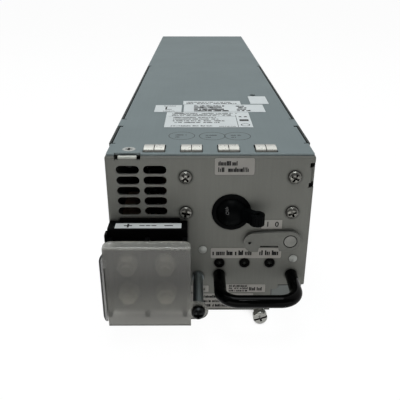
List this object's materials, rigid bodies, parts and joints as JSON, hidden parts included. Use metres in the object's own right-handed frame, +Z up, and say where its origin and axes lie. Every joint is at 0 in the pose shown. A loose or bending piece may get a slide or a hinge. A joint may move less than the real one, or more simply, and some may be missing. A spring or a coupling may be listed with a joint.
{
  "type": "router power supply",
  "caption": "Long plug-in power supply for a router: folded steel case with a breaker, covered input terminals, guarded mode switch, lamps, pull handle and a captive fixing screw",
  "frame": {"origin": "centre of the case's underside", "axes": "X to the right as seen from the front, Y from the front panel to the rear, Z up"},
  "size_m": [0.1041, 0.5156, 0.0913],
  "materials": {
    "case_steel": "plain zinc-coated sheet",
    "front_steel": "plain zinc-coated sheet",
    "spring_steel": "bright",
    "zinc_screw": "bright zinc",
    "plate_steel": "satin",
    "captive_steel": "turned",
    "black_paint": "satin black",
    "dark_steel": "black oxide",
    "breaker_case": "matt moulding",
    "toggle_plastic": "satin moulding",
    "block_plastic": "matt moulding",
    "bezel_plastic": "satin moulding",
    "lamp_lens": "clear, unlit",
    "switch_plastic": "matt moulding",
    "slider_plastic": "light moulding",
    "frosted_sheet": "frosted, see-through",
    "tinned_brass": "tinned",
    "copper": "bare copper",
    "board_green": "solder mask",
    "ferrite": "matt",
    "bare_aluminium": "extruded",
    "can_sleeve": "shrunk sleeve",
    "plug_plastic": "matt moulding"
  },
  "bodies": {
    "case": {"chassis_tray": "case_steel", "top_cover": "case_steel", "rear_panel": "case_steel", "front_panel": "front_steel", "emi_fingers": "spring_steel", "breaker_screws": "zinc_screw", "lid_screw": "zinc_screw", "board_screws": "zinc_screw", "board_standoffs": "zinc_screw", "panel_studs": "zinc_screw", "handle_screws": "zinc_screw", "plate_pivot": "plate_steel", "captive_ferrule": "captive_steel", "handle": "black_paint", "cover_standoff": "dark_steel", "cover_screw": "dark_steel", "breaker_body": "breaker_case", "terminal_block": "block_plastic", "led_bezels": "bezel_plastic", "leds": "lamp_lens", "mode_switch_body": "switch_plastic", "terminal_cover": "frosted_sheet", "terminal_studs": "tinned_brass", "terminal_nuts": "tinned_brass", "terminal_washers": "tinned_brass", "breaker_studs": "tinned_brass", "breaker_nuts": "tinned_brass", "output_blades": "tinned_brass", "return_bus_bar": "copper", "line_bus_bar": "copper", "load_bus_bar": "copper", "choke_winding": "copper", "transformer_winding": "copper", "main_board": "board_green", "control_board": "board_green", "choke_core": "ferrite", "transformer_core": "ferrite", "left_heat_sink": "bare_aluminium", "right_heat_sink": "bare_aluminium", "filter_capacitors": "can_sleeve", "output_plug": "plug_plastic"},
    "toggle": {"breaker_toggle": "toggle_plastic"},
    "swing_plate": {"switch_cover_plate": "plate_steel"},
    "slider": {"mode_switch_slider": "slider_plastic"},
    "fixing_screw": {"captive_screw": "captive_steel"}
  },
  "joints": [
    {"name": "toggle_throw", "type": "hinge", "parent": "case", "child": "toggle", "pos_m": [0.0108, -0.231, 0.0593], "axis": [0, 0, -1], "range_deg": [0, 96]},
    {"name": "plate_swing", "type": "hinge", "parent": "case", "child": "swing_plate", "pos_m": [0.041, -0.236, 0.044], "axis": [0, -1, 0], "range_deg": [0, 65]},
    {"name": "mode_slide", "type": "slide", "parent": "case", "child": "slider", "axis": [1, 0, 0], "range_m": [0, 0.004]},
    {"name": "fixing_turn", "type": "hinge", "parent": "case", "child": "fixing_screw", "pos_m": [0.0265, -0.244, 0.00415], "axis": [0, 1, 0], "continuous": true}
  ]
}
